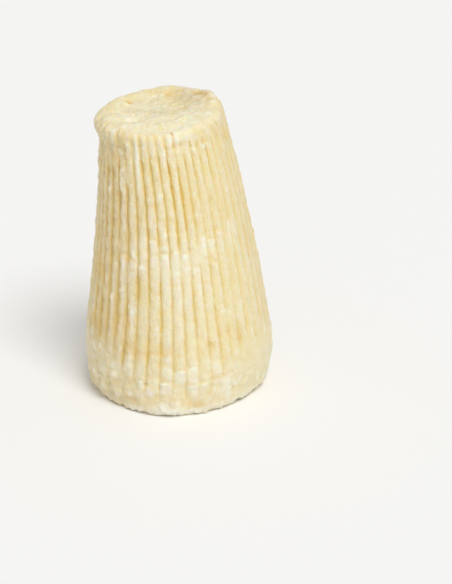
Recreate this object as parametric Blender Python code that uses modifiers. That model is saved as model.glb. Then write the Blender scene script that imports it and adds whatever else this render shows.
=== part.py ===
"""Moulded ricotta: one tall fresh cheese, turned out of a ribbed basket mould.

It stands on its wide end, where it has settled into a smooth belly with a
rounded foot. Above the belly the bars of the basket have left close upright
ribs, and these fade out below a soft, uneven lip round a shallow dish. The
whole cheese is one solid.

Metres, +Z up. The origin is the middle of the flat foot. -Y is the front of
the cheese and +X its right-hand side.
"""

import math

import bpy

# Driving dimensions. Lengths are in metres and angles in radians; an angle is
# measured round the cheese from its front, towards its right-hand side.
RIM_HEIGHT = 0.2085          # crest of the lip, before the top is tilted
LIP_HEIGHT = 0.2025          # where the side turns over into the lip
LIP_RADIUS = 0.0432
CREST_RADIUS = 0.0368
DISH_RADIUS = 0.0265
DISH_DEPTH = 0.0034
DISH_OFFSET_SIDE = -0.0035   # the dish lies off centre, to the left
DISH_OFFSET_BACK = 0.0040    # and towards the back

FOOT_RADIUS = 0.0600         # the flat face that it rests on
FOOT_HEIGHT = 0.0130         # top of the foot's rounded edge
BELLY_RADIUS = 0.0676
BELLY_HEIGHT = 0.0350        # the belly draws in below this height,
BELLY_TUCK = 0.0028          # by this much at the floor
TAPER_RADIUS = 0.0739        # radius of the tapered side, carried down to z = 0
TAPER = 0.1515               # metres of radius for each metre of height
BELLY_BLEND = 0.0006         # how softly the belly runs into the taper

RIB_COUNT = 46
RIB_SHIFT = -0.088           # turns the ribs as a set
RIB_CROWDING = 0.049         # the ribs stand closer on one side of the front
RIB_SQUEEZE = 0.11           # draws the edges of a rib towards its groove
GROOVE_DEPTH = 0.0014
RIB_CROWN = 0.0004           # how far the middle of a rib stands out
RIB_FOOT_FADE = 0.006        # how gently a groove starts at its foot,
RIB_TOP_FADE = 0.009         # and how gently it ends at its top
RIB_FOOT = 0.050             # height where the grooves start
RIB_TOP = 0.192              # height where they end

LEAN_SIDE = 0.0373           # sideways lean of the middle line at the foot,
LEAN_SIDE_BEND = -0.423      # and how it bends over to the left higher up
LEAN_BACK_BEND = 0.075       # the middle line also bends backwards a little
TOP_SLOPE_SIDE = 0.075       # the top is tilted, higher on the right
TOP_SLOPE_BACK = 0.050       # and at the back
TILT_START = 0.100           # the side feels the tilt above this height

# Local unevenness, as (angle, half width in angle, size).
GROOVE_SWELLS = [(-0.45, 0.70, 0.0004), (0.90, 0.60, -0.0004)]
RIB_FOOT_DIPS = [(0.10, 0.60, 0.028), (2.90, 0.70, 0.020)]
RIB_TOP_DIPS = [(0.52, 0.30, 0.009), (-1.20, 0.45, 0.008), (2.30, 0.50, 0.007)]
LIP_BULGES = [(-1.45, 0.60, 0.0036), (-0.55, 0.40, 0.0010), (1.50, 0.50, 0.0007)]
RIM_SWELLS = [(1.90, 0.40, 0.0038), (2.95, 0.40, 0.0010)]
FOOT_SWELLS = [(-0.10, 0.35, 0.0018), (-0.95, 0.35, -0.0009), (0.80, 0.40, -0.0026)]
BELLY_SWELLS = [(1.40, 0.60, 0.0019), (-1.40, 0.60, -0.0003)]
LIP_BULGE_REACH = 0.006      # how far a bulge of the lip reaches up and down
RIM_SWELL_REACH = 0.0075     # how far a swell of the rim reaches across it
FOOT_SWELL_REACH = 0.030     # how far up a swell of the foot can be felt
BELLY_SWELL_REACH = 0.018    # how far a swell of the belly reaches
BELLY_SWELL_HEIGHT = 0.030

# How finely the solid is faceted
COLUMNS_PER_RIB = 4
WALL_BANDS = 14
WALL_BAND_CROWDING = 0.08    # draws the side's levels towards its two ends
DISH_BANDS = 3
LIP_BANDS = 4
FOOT_BANDS = 3
MERGE_DISTANCE = 0.00005


def soft_min(first, second, blend):
    """The smaller of two lengths, with the corner between them rounded."""
    return (first + second) / 2 - math.hypot((first - second) / 2, blend)


def smooth_step(start, end, value):
    """Rises smoothly from 0 at start to 1 at end."""
    share = min(1.0, max(0.0, (value - start) / (end - start)))
    return share * share * (3 - 2 * share)


def hump(away, reach):
    """Falls smoothly from 1 to 0 as a distance grows past its reach."""
    return math.exp(-(away / reach) ** 2)


def swell(angle, swells):
    """Adds up the swells that lie at their own angles round the cheese."""
    total = 0.0
    for middle, half_width, size in swells:
        away = math.remainder(angle - middle, math.tau)
        total += size * hump(away, half_width)
    return total


def wall_radius(height):
    """Radius of the side over its ribs: an upright belly under an even taper."""
    belly = BELLY_RADIUS - BELLY_TUCK * max(0.0, 1 - height / BELLY_HEIGHT) ** 2
    taper = TAPER_RADIUS - TAPER * height
    return soft_min(belly, taper, BELLY_BLEND)


def dish_outline():
    """The dish, from its middle up the inner slope to the crest of the lip."""
    floor = RIM_HEIGHT - DISH_DEPTH
    points = [(0.0, floor), (DISH_RADIUS * 0.6, floor)]
    for step in range(DISH_BANDS + 1):
        share = step / DISH_BANDS
        radius = DISH_RADIUS + (CREST_RADIUS - DISH_RADIUS) * share
        rise = (1 - math.cos(math.pi * share)) / 2
        points.append((radius, floor + DISH_DEPTH * rise))
    return points


def lip_outline():
    """The rounded lip, from its crest over to the top of the side."""
    points = []
    for step in range(1, LIP_BANDS + 1):
        over = math.pi / 2 * step / LIP_BANDS
        radius = CREST_RADIUS + (LIP_RADIUS - CREST_RADIUS) * math.sin(over)
        height = LIP_HEIGHT + (RIM_HEIGHT - LIP_HEIGHT) * math.cos(over)
        points.append((radius, height))
    return points


def wall_outline():
    """The side, in levels that lie closer where the ribs begin and end."""
    points = []
    for step in range(1, WALL_BANDS + 1):
        share = step / WALL_BANDS
        share -= WALL_BAND_CROWDING * math.sin(math.tau * share)
        height = LIP_HEIGHT + (FOOT_HEIGHT - LIP_HEIGHT) * share
        points.append((wall_radius(height), height))
    return points


def foot_outline():
    """The rounded edge of the foot, and the flat face under it."""
    edge = wall_radius(FOOT_HEIGHT)
    points = []
    for step in range(1, FOOT_BANDS + 1):
        under = math.pi / 2 * step / FOOT_BANDS
        radius = FOOT_RADIUS + (edge - FOOT_RADIUS) * math.cos(under)
        points.append((radius, FOOT_HEIGHT * (1 - math.sin(under))))
    points.append((0.0, 0.0))
    return points


def turned_blank():
    """The cheese as a plain turned shape, still without ribs or unevenness."""
    outline = dish_outline() + lip_outline() + wall_outline() + foot_outline()
    corners = [(radius, 0.0, height) for radius, height in outline]
    edges = [(index, index + 1) for index in range(len(corners) - 1)]
    mesh = bpy.data.meshes.new("outline")
    mesh.from_pydata(corners, edges, [])
    blank = bpy.data.objects.new("outline", mesh)
    bpy.context.scene.collection.objects.link(blank)

    screw = blank.modifiers.new("Turned", "SCREW")
    screw.steps = RIB_COUNT * COLUMNS_PER_RIB
    screw.render_steps = screw.steps
    screw.use_merge_vertices = True
    screw.merge_threshold = MERGE_DISTANCE

    depsgraph = bpy.context.evaluated_depsgraph_get()
    turned = bpy.data.meshes.new_from_object(blank.evaluated_get(depsgraph))
    bpy.data.objects.remove(blank)
    bpy.data.meshes.remove(mesh)
    return turned


def rib_relief(phase, angle, height):
    """How far the ribs move the side out, or in where it is negative.

    The phase counts ribs round the cheese. It is a whole number at the bottom
    of each groove, and half way to the next one on the middle of a rib.
    """
    foot = RIB_FOOT - swell(angle, RIB_FOOT_DIPS)
    top = RIB_TOP - swell(angle, RIB_TOP_DIPS)
    started = smooth_step(foot - RIB_FOOT_FADE, foot + RIB_FOOT_FADE, height)
    ended = smooth_step(top - RIB_TOP_FADE, top + RIB_TOP_FADE, height)
    wave = math.cos(math.tau * phase)
    groove = GROOVE_DEPTH + swell(angle, GROOVE_SWELLS)
    depth = groove if wave > 0 else RIB_CROWN
    return -depth * wave * (started - ended)


def side_relief(phase, angle, height):
    """All that moves the side out of its plain turned shape."""
    relief = rib_relief(phase, angle, height)
    relief += swell(angle, LIP_BULGES) * hump(height - LIP_HEIGHT, LIP_BULGE_REACH)
    belly = hump(height - BELLY_SWELL_HEIGHT, BELLY_SWELL_REACH)
    relief += swell(angle, BELLY_SWELLS) * belly
    foot = 1 - smooth_step(0.0, FOOT_SWELL_REACH, height)
    relief += swell(angle, FOOT_SWELLS) * foot
    return relief


def cheese_point(blank):
    """Where a point of the turned blank lies on the finished cheese."""
    radius = math.hypot(blank.x, blank.y)
    height = blank.z
    turn = math.atan2(blank.x, -blank.y)
    phase = RIB_COUNT * turn / math.tau
    angle = turn + RIB_SHIFT + RIB_CROWDING * math.cos(turn)
    angle -= RIB_SQUEEZE * math.sin(math.tau * phase) * math.tau / RIB_COUNT

    on_side = smooth_step(DISH_RADIUS, LIP_RADIUS, radius)
    reach = radius + on_side * side_relief(phase, angle, height)
    across = reach * math.sin(angle)
    back = -reach * math.cos(angle)

    tilted = smooth_step(TILT_START, RIM_HEIGHT, height)
    rise = TOP_SLOPE_SIDE * across + TOP_SLOPE_BACK * back
    rise += swell(angle, RIM_SWELLS) * hump(radius - CREST_RADIUS, RIM_SWELL_REACH)

    across += LEAN_SIDE * height + LEAN_SIDE_BEND * height ** 2
    back += LEAN_BACK_BEND * height ** 2
    across += DISH_OFFSET_SIDE * tilted * (1 - on_side)
    back += DISH_OFFSET_BACK * tilted * (1 - on_side)
    return across, back, height + tilted * rise


def cheese_material():
    """Moist cream-coloured curd."""
    material = bpy.data.materials.new("Ricotta curd")
    material.use_nodes = True
    shader = material.node_tree.nodes["Principled BSDF"]
    shader.inputs["Base Color"].default_value = (0.85, 0.73, 0.44, 1.0)
    shader.inputs["Roughness"].default_value = 0.55
    shader.inputs["Metallic"].default_value = 0.0
    return material


def build_cheese():
    """Shapes the turned blank into the cheese, in a collection of its own."""
    mesh = turned_blank()
    mesh.name = "ricotta"
    for vertex in mesh.vertices:
        vertex.co = cheese_point(vertex.co)
    mesh.materials.append(cheese_material())
    mesh.shade_smooth()

    cheese = bpy.data.objects.new("ricotta", mesh)
    collection = bpy.data.collections.new("Moulded ricotta")
    bpy.context.scene.collection.children.link(collection)
    collection.objects.link(cheese)


for leftover in list(bpy.data.objects):
    bpy.data.objects.remove(leftover)
build_cheese()
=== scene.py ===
"""A tall moulded ricotta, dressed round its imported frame: curd, stand, light and camera."""

import math

import bpy
import numpy as np
from mathutils import Matrix, Vector, noise


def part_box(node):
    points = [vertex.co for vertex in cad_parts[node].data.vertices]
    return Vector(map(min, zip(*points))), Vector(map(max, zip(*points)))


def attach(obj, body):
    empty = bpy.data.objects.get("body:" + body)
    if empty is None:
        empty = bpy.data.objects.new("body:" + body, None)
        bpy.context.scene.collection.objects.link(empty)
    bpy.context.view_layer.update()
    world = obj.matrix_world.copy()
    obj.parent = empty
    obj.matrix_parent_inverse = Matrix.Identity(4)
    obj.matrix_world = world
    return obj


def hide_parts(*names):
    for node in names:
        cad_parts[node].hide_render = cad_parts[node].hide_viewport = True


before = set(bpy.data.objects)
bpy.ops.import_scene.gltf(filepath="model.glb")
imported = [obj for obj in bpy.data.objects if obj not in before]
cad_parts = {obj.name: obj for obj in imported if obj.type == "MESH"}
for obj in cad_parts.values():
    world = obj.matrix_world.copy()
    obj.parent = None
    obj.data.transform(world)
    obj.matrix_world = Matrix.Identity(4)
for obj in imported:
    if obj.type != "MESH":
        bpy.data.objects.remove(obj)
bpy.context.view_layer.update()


# ---- The cheese -----------------------------------------------------------------
# One pressed piece of fresh ricotta. It was turned out of a tall basket, stands on its
# wide end, and has the basket's bars printed up its side. Lengths are metres and
# angles radians, measured from the front towards the right.
foot_low, foot_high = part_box("ricotta")
TALL = foot_high.z - foot_low.z
BELLY = (foot_high.y - foot_low.y) / 2

RIM_HEIGHT = 0.9675 * TALL
LIP_HEIGHT = 0.9397 * TALL
LIP_RADIUS = 0.639 * BELLY
CREST_RADIUS = 0.544 * BELLY
DISH_RADIUS = 0.27 * BELLY
DISH_DEPTH = 0.0158 * TALL
DISH_OFFSET_SIDE = -0.0035
DISH_OFFSET_BACK = 0.004
FOOT_RADIUS = 0.8876 * BELLY
FOOT_HEIGHT = 0.0603 * TALL
BELLY_HEIGHT = 0.1624 * TALL
BELLY_TUCK = 0.0414 * BELLY
BELLY_BLEND = 0.0006
TAPER_RADIUS = 1.0932 * BELLY
TAPER = 0.1515
LEAN_SIDE = 0.0373
LEAN_SIDE_BEND = -0.423
LEAN_BACK_BEND = 0.075
TOP_SLOPE_SIDE = 0.075
TOP_SLOPE_BACK = 0.05
TILT_START = 0.1

# Where the round form swells: (angle, half width in angle, size).
LIP_BULGES = [(-1.45, 0.6, 0.0036), (-0.55, 0.4, 0.001), (1.5, 0.5, 0.0007)]
RIM_SWELLS = [(1.9, 0.4, 0.0038), (2.95, 0.4, 0.001), (0.1, 0.9, -0.0045)]
DISH_SWELLS = [(-2.3, 1.1, -0.001), (2.6, 0.7, -0.0007)]
FOOT_SWELLS = [(-0.1, 0.35, 0.0018), (-0.95, 0.35, -0.0009), (0.8, 0.4, -0.0026)]
BELLY_SWELLS = [(1.4, 0.6, 0.0019), (-1.4, 0.6, -0.0003)]
LIP_BULGE_REACH = 0.006
RIM_SWELL_REACH = 0.0075
DISH_SWELL_REACH = 0.0055
DISH_SWELL_RADIUS = 0.69 * CREST_RADIUS
FOOT_SWELL_REACH = 0.03
BELLY_SWELL_REACH = 0.018
BELLY_SWELL_HEIGHT = 0.03

SEED_STEP = 17.3


def in_metres(rows, *lengths):
    """A table in metres, from rows whose values at those places are in millimetres."""
    return [[v * 0.001 if i in lengths else v for i, v in enumerate(row)] for row in rows]


def smooth_step(start, end, value):
    """Rises smoothly from 0 at start to 1 at end."""
    share = np.clip((value - start) / (end - start), 0, 1)
    return share * share * (3 - 2 * share)


def hump(away, reach):
    """Falls smoothly from 1 to 0 as a distance grows past its reach."""
    return np.exp(-((away / reach) ** 2))


def turn_between(angle, other):
    """The angle from another place round the cheese to this one, the short way."""
    return (angle - other + math.pi) % math.tau - math.pi


def swell(angle, swells):
    """Adds up the swells that lie at their own angles round the cheese."""
    return sum(size * hump(turn_between(angle, middle), width) for middle, width, size in swells)


def noise_at(places, size, seed):
    """Smooth noise from -1 to 1 at each place, with features of that size."""
    spots = places / size + seed * SEED_STEP
    return np.array([noise.noise(spot) for spot in spots.tolist()])


def wall_radius(height):
    """Radius of the side over its ribs: an upright belly under an even taper."""
    belly = BELLY - BELLY_TUCK * np.clip(1 - height / BELLY_HEIGHT, 0, 1) ** 2
    taper = TAPER_RADIUS - TAPER * height
    return (belly + taper) / 2 - np.hypot((belly - taper) / 2, BELLY_BLEND)


# The print of the basket. Its upright bars press close grooves into the side. They
# wander a little and their ends are ragged: they run out where the belly has
# settled over them, and fade under the lip. Widths across a rib are shares of it.
RIB_COUNT = 46
RIB_PITCH = math.tau / RIB_COUNT
RIB_SHIFT = -0.061
RIB_CROWDING = 0.029
RIB_CROWDING_TURN = 0.96
RIB_SWAYS = 4
RIB_SWAY = 0.02
RIB_SWAY_TURN = 0.41
GROOVE_DEPTH = 0.00071
GROOVE_HALF_WIDTH = 0.125
GROOVE_SHARPNESS = 1.25
RIB_CROWN = 0.00045
RIB_BEADS = 0.00034
RIB_FOOT = 0.051
RIB_TOP = 0.203
RIB_FOOT_DIPS = [
    (-0.42, 0.26, 0.03),
    (0.05, 0.32, 0.032),
    (0.42, 0.22, 0.02),
    (2.9, 0.55, 0.022),
    (-2.3, 0.35, 0.012),
    (1.95, 0.25, -0.01),
]
RIB_TOP_DIPS = [
    (-0.28, 0.26, 0.007),
    (0.28, 0.1, 0.01),
    (0.62, 0.3, 0.007),
    (-0.85, 0.24, 0.013),
    (-1.25, 0.45, 0.012),
    (2.3, 0.5, 0.012),
    (-2.5, 0.4, 0.01),
]
RIB_FOOT_RUN = (-0.008, 0.005)
RIB_TOP_RUN = (-0.014, 0.004)
RIB_LOW_BAND = (0.026, 0.054)
RIB_LOW_FADE = 0.5
GROOVE_SHALLOWS = [(0.9, 0.5, 0.5), (1.6, 0.6, 0.3)]
GROOVE_SPREADS = [(-1.05, 0.45, 0.7), (2.2, 0.6, 0.4)]

# No groove is even. Its depth, width and ends change along it, in features of two sizes.
RAGGED_SIZE = 0.006
RAGGED_FOOT = 0.006
RAGGED_TOP = 0.003
RAGGED_DEPTH = 0.35
RAGGED_WIDTH = 0.4
UNEVEN_SIZE = 0.017
UNEVEN_DEPTH = 0.5
UNEVEN_WHEY_AND_SHADE = 0.3
BEAD_SIZE = 0.0058
GROOVE_APART = 0.037
RIB_APART = 0.051

# Whey stands yellow in the grooves. The yellow is partly dried whey and partly painted shade,
# so it reaches further up each groove's right wall, which is turned from the light. Each rib
# gets a painted highlight beside its next groove, on its side towards the light. Low at the
# front the whey is washed out.
WHEY_AND_SHADE_LEFT = 0.085
WHEY_AND_SHADE_RIGHT = 0.165
WASHED = [(0.35, 0.75, 0.26)]
WASHED_BAND = (0.045, 0.125)
RIB_HIGHLIGHT_ACROSS = 0.71
RIB_HIGHLIGHT_WIDTH = 0.17
RIB_HIGHLIGHT_MOST = 1.5

# Soft flutes go on from some grooves, up over the lip.
FLUTES = [(-0.12, 0.34, 1.0), (-0.68, 0.12, 0.5), (-2.6, 0.5, 0.8)]
FLUTE_DEPTH = 0.0008
FLUTE_START = (0.186, 0.198)
FLUTE_END = (LIP_HEIGHT + 0.0025, RIM_HEIGHT + 0.0006)
FLUTE_YIELDING = 0.8
# The flutes get the same painted highlight on their side towards the light, and whey yellow with
# painted shade in their hollows.
FLUTE_HIGHLIGHT = 1.5
FLUTE_WHEY_AND_SHADE = 0.6
FLUTE_WHEY_AND_SHADE_WIDTH = 0.2

# Where the bars stood askew: (angle, height, half width in angle, half height, shift).
LEANINGS = in_metres([
    (-0.2, 205, 0.42, 40, -0.036), (0.48, 20, 0.32, 40, 0.048), (-0.45, 15, 0.3, 28, -0.045),
    (2.4, 190, 0.5, 50, 0.03), (-2.4, 40, 0.5, 40, 0.03),
], 1, 3)

# Where the bars pressed harder, or the grooves are smeared shut:
# (angle, height, half width in angle, half height, change in depth).
PRESSINGS = in_metres([
    (-0.3, 160, 0.06, 48, 0.4), (0.1, 165, 0.06, 42, 0.55), (0.225, 165, 0.05, 40, 0.35),
    (-0.03, 165, 0.05, 30, 0.2), (-0.73, 165, 0.06, 35, 0.4), (-0.87, 170, 0.05, 25, 0.3),
    (-0.58, 145, 0.05, 25, 0.35), (-0.58, 62, 0.06, 20, 0.4), (-0.72, 75, 0.06, 25, 0.3),
    (-0.44, 110, 0.05, 60, 0.2), (-0.16, 80, 0.05, 22, 0.45), (-0.46, 195, 0.04, 6, -0.9),
    (0.215, 198, 0.04, 6, 0.5), (-0.32, 36, 0.05, 10, 0.7), (-0.58, 174, 0.05, 7, -1),
    (-0.5, 171, 0.06, 11, -0.7), (-0.72, 124, 0.05, 8, -0.7), (0.1, 113, 0.06, 14, -0.8),
    (0.12, 36, 0.05, 18, -0.5), (-0.46, 45, 0.05, 16, -0.45), (-0.73, 45, 0.05, 15, -0.6),
    (-0.035, 36, 0.04, 18, 0.45), (-0.73, 182, 0.05, 9, 0.6), (-0.87, 180, 0.05, 10, 0.6),
    (0.72, 186, 0.05, 10, 0.5), (-0.46, 186, 0.05, 12, -0.3), (0.245, 40, 0.05, 16, -0.4),
    (-0.17, 46, 0.04, 10, 0.3), (-0.6, 45, 0.05, 10, 0.4), (-0.03, 184, 0.05, 8, 0.3),
    (-0.19, 186, 0.05, 8, 0.35), (-0.33, 187, 0.05, 9, 0.45), (0.09, 190, 0.05, 10, 0.4),
    (-0.16, 118, 0.05, 10, -0.6), (0.6, 71, 0.05, 9, -0.9), (0.36, 120, 0.05, 10, -0.7),
    (0.47, 148, 0.05, 10, -0.5), (0.72, 100, 0.05, 20, -0.5), (0.75, 150, 0.1, 20, -0.4),
    (0.23, 112, 0.05, 15, -0.6), (0.34, 120, 0.05, 8, -0.3), (0.47, 124, 0.05, 6, -0.5),
    (-0.18, 108, 0.05, 8, -0.4), (-0.58, 104, 0.05, 9, -0.5), (-0.73, 105, 0.05, 11, 0.4),
    (2.05, 140, 0.1, 14, -0.9), (-2.6, 95, 0.12, 16, -0.9), (3.05, 70, 0.08, 12, -0.8),
], 1, 3)


def rib_angle(turn):
    """Where a place of the evenly divided round lies once the bars have stood."""
    crowded = RIB_CROWDING * np.cos(turn + RIB_CROWDING_TURN)
    swayed = RIB_SWAY * np.cos(RIB_SWAYS * turn + RIB_SWAY_TURN)
    return turn + RIB_SHIFT + crowded + swayed


def askew(angle, height):
    """How far the bars stood to one side of their even places."""
    shift = np.zeros_like(angle)
    for middle, level, half_width, half_height, lean in LEANINGS:
        near = hump(turn_between(angle, middle), half_width) * hump(height - level, half_height)
        shift = shift + lean * near
    return shift


def along_each(bar, height, apart, size, seed):
    """Noise up each groove or rib, unlike that of the next one."""
    spots = np.stack([bar * apart, height, np.zeros_like(height)], axis=-1)
    return noise_at(spots, size, seed)


def printed_share(angle, height, ragged):
    """How fully the bars have printed the side at each place: 0 is bare, 1 is usual."""
    foot = RIB_FOOT - swell(angle, RIB_FOOT_DIPS) + RAGGED_FOOT * ragged
    top = RIB_TOP - swell(angle, RIB_TOP_DIPS) + RAGGED_TOP * ragged
    printed = smooth_step(*RIB_FOOT_RUN, height - foot)
    printed = printed * (1 - RIB_LOW_FADE * (1 - smooth_step(*RIB_LOW_BAND, height)))
    printed = printed * (1 - smooth_step(*RIB_TOP_RUN, height - top))
    pressed = np.ones_like(height)
    for middle, level, half_width, half_height, change in PRESSINGS:
        away = np.hypot(turn_between(angle, middle) / half_width, (height - level) / half_height)
        pressed = pressed + change * np.exp(-(away**4))
    return printed * np.clip(pressed, 0, 2)


def rib_relief(phase, angle, height):
    """Height of the ribs over the plain side, how much whey yellow and painted shade lie in the
    grooves, and the painted highlight on each rib's side towards the light.
    """
    groove = np.round(phase)
    beside = phase - groove
    across = np.abs(beside)
    ragged = along_each(groove, height, GROOVE_APART, RAGGED_SIZE, 1)
    uneven = along_each(groove, height, GROOVE_APART, UNEVEN_SIZE, 2)
    printed = printed_share(angle, height, ragged)
    depth = printed * (1 + UNEVEN_DEPTH * uneven + RAGGED_DEPTH * ragged)
    depth = depth * (1 - swell(angle, GROOVE_SHALLOWS))
    spread = (1 + RAGGED_WIDTH * ragged) * (1 + swell(angle, GROOVE_SPREADS))
    filled = depth * np.exp(-((across / (GROOVE_HALF_WIDTH * spread)) ** GROOVE_SHARPNESS))
    beads = RIB_BEADS * along_each(np.floor(phase), height, RIB_APART, BEAD_SIZE, 9)
    crown = (RIB_CROWN + beads) * np.clip(printed, 0, 1) * (1 - (1 - 2 * across) ** 3)
    fluted = smooth_step(*FLUTE_START, height) * (1 - smooth_step(*FLUTE_END, height))
    fluted = fluted * swell(angle, FLUTES) * (1 - FLUTE_YIELDING * np.clip(printed, 0, 1))
    flutes = FLUTE_DEPTH * fluted * (1 + np.cos(math.tau * phase)) / 2
    # Whey yellow and painted shade in the groove, wider on the right wall, which is turned from the
    # light.
    whey_and_shade_width = np.where(beside > 0, WHEY_AND_SHADE_RIGHT, WHEY_AND_SHADE_LEFT) * spread * (1 + UNEVEN_WHEY_AND_SHADE * uneven)
    whey_and_shade = depth * np.exp(-((across / whey_and_shade_width) ** GROOVE_SHARPNESS))
    whey_and_shade = whey_and_shade * (1 - swell(angle, WASHED) * (1 - smooth_step(*WASHED_BAND, height)))
    whey_and_shade = whey_and_shade + FLUTE_WHEY_AND_SHADE * fluted * hump(across, FLUTE_WHEY_AND_SHADE_WIDTH)
    # Painted highlight on each rib's side towards the light.
    pale = np.clip(printed + FLUTE_HIGHLIGHT * fluted, 0, RIB_HIGHLIGHT_MOST)
    pale = pale * hump(phase % 1 - RIB_HIGHLIGHT_ACROSS, RIB_HIGHLIGHT_WIDTH)
    return crown - GROOVE_DEPTH * filled - flutes, whey_and_shade, pale


# Ledges. As the cheese settled its skin broke across the ribs here and there. The
# lower lip of a break stands a little proud under a fine crack and fades downwards:
# (from angle, to angle, height, how proud, how far down it fades, slope along it).
LEDGES = in_metres([
    (-0.29, -0.17, 130.5, 0.4, 9, 0), (-0.29, -0.165, 119, 0.6, 9, 0.01),
    (-0.15, -0.03, 120.5, 0.6, 11, 0.004), (-0.015, 0.095, 123, 0.7, 10, 0),
    (-0.68, -0.45, 115, 0.7, 10, -0.022), (-0.44, -0.3, 111, 0.6, 9, -0.006),
    (-0.59, -0.46, 106, 0.5, 8, 0), (0.12, 0.225, 121, 0.4, 12, 0),
    (0.225, 0.345, 110, 0.4, 8, 0.01), (0.35, 0.46, 131, 0.4, 7, 0.012),
    (0.47, 0.57, 129, 0.4, 9, 0), (0.6, 0.71, 133, 0.4, 10, 0),
    (-0.155, -0.03, 144, 0.4, 6, -0.01), (0.82, 0.93, 139, 0.8, 8, 0.015),
    (0.115, 0.232, 39.5, 0.9, 10, 0), (0.005, 0.1, 37.5, 1, 5, 0),
    (0.12, 0.232, 26.5, 0.5, 6, 0), (0.24, 0.34, 27, 0.6, 4, 0),
    (-0.165, -0.04, 28, 0.8, 4, 0), (-0.42, -0.32, 27, 0.7, 4, 0),
    (-0.545, -0.48, 49, 0.7, 6, 0), (0.385, 0.64, 29.5, 0.6, 6, 0.01),
    (-0.3, -0.16, 49, 0.5, 6, 0), (-0.23, 0.01, 15, 0.7, 6, 0),
    (-0.33, -0.3, 93, 0.8, 2, 0), (-0.175, -0.145, 58.5, 0.7, 2, 0),
    (0.58, 0.62, 79, 0.8, 3, 0),
], 2, 3, 4)
LEDGE_EDGE = 0.0006
LEDGE_ENDS = (-0.012, 0.008)
LEDGE_ROUNDING = 0.0006
CRACK_DEPTH = 0.5
CRACK_HEIGHT = 0.0011
CRACK_FULL = 0.001
MORE_LEDGES = 90
LEDGE_LEVELS = [0.028, 0.045, 0.085, 0.105, 0.12, 0.135, 0.155]
LEDGE_LEVEL_SPREAD = 0.009
LEDGE_SLOPE_SPREAD = 0.01
LEDGE_SPAN = (0.08, 0.92)
LEDGE_FADES = (0.004, 0.012)
PROUD_AT_BACK = (0.0003, 0.0008)
PROUD_AT_FRONT = (0.0001, 0.0003)
BACK_HALF_TURN = 1.7


def more_ledges():
    """Slighter breaks of the same kind, each across one rib, all round the cheese."""
    chance = np.random.default_rng(7)
    ledges = []
    for _ in range(MORE_LEDGES):
        rib = chance.integers(RIB_COUNT)
        start, end = [float(rib_angle((rib + place) * RIB_PITCH)) for place in LEDGE_SPAN]
        level = chance.choice(LEDGE_LEVELS) + chance.normal(0, LEDGE_LEVEL_SPREAD)
        at_back = abs(turn_between(start, math.pi)) < BACK_HALF_TURN
        proud = chance.uniform(*(PROUD_AT_BACK if at_back else PROUD_AT_FRONT))
        fade = chance.uniform(*LEDGE_FADES)
        slope = chance.normal(0, LEDGE_SLOPE_SPREAD)
        ledges.append((start, end, level, proud, fade, slope))
    return ledges


def ledge_relief(angle, height):
    """How far the ledges stand proud of the side, and how much painted shade lies in their cracks."""
    relief = np.zeros_like(angle)
    crack_shades = np.zeros_like(angle)
    for start, end, level, proud, fade, slope in LEDGES + more_ledges():
        half = (end - start) / 2
        aside = turn_between(angle, start + half)
        inside = 1 - smooth_step(*LEDGE_ENDS, np.abs(aside) - half)
        rounded = LEDGE_ROUNDING * (aside / half) ** 2
        below = level + slope * aside - rounded - height
        edge = smooth_step(-LEDGE_EDGE, LEDGE_EDGE, below)
        relief += proud * inside * edge * np.exp(-np.clip(below, 0, None) / fade)
        crack = inside * hump(below + CRACK_HEIGHT, CRACK_HEIGHT)
        relief -= CRACK_DEPTH * proud * crack
        # The crack's share of painted shade.
        crack_shades += crack * np.clip(proud / CRACK_FULL, 0, 1)
    return relief, crack_shades


# Pits and crumbs of curd in the skin: (angle, height or radius, half width, half
# length, depth), where a negative depth is a lump that stands proud.
SIDE_PITS = in_metres([
    (0.23, 207.2, 0.7, 1.2, 1.3), (0.22, 202, 0.4, 3.4, 0.6), (0.214, 198, 0.9, 1.1, 0.4),
    (0.33, 198, 1, 1.1, 0.5), (0.105, 197, 1.6, 1, 0.4), (0.47, 198, 1.2, 0.9, 0.2),
    (0.59, 194.5, 1.1, 1.4, 0.4), (0.715, 196, 1.4, 1, 0.4), (-0.463, 200.5, 0.7, 1.6, 0.4),
    (-0.74, 194.5, 3, 0.7, 0.5), (-0.7, 192.5, 3, 1.4, -0.4), (-0.6, 190.5, 2, 1.4, -0.6),
    (-0.81, 201, 1.6, 4, -0.6), (-0.9, 196, 3, 1, 0.5), (-1.02, 200, 2.4, 2, -0.5),
    (-0.95, 190, 3, 2.4, -0.4), (-0.52, 198.5, 1.6, 2, -0.4), (-0.7, 200, 1.4, 2, 0.4),
    (0.3, 201.5, 2.8, 2.2, -0.7), (0.24, 193, 2.4, 1.3, -0.6), (0.5, 192, 1.6, 1.1, -0.6),
    (0.73, 192.5, 5, 1.3, -0.5), (-0.3, 93, 1, 1.2, -0.7), (-0.28, 61, 0.8, 1, -0.6),
    (0.37, 55, 1.3, 2, 0.3), (0.5, 60, 1.3, 2, 0.3), (0.62, 62, 1.3, 2.2, 0.3),
    (-0.33, 24.5, 1.2, 1.6, 0.9), (-0.36, 26.5, 1.6, 1.2, -0.8), (-0.3, 21.5, 1.4, 1.2, -0.7),
    (-0.015, 122.5, 1.2, 1.2, 0.4),
], 1, 2, 3, 4)
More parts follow.
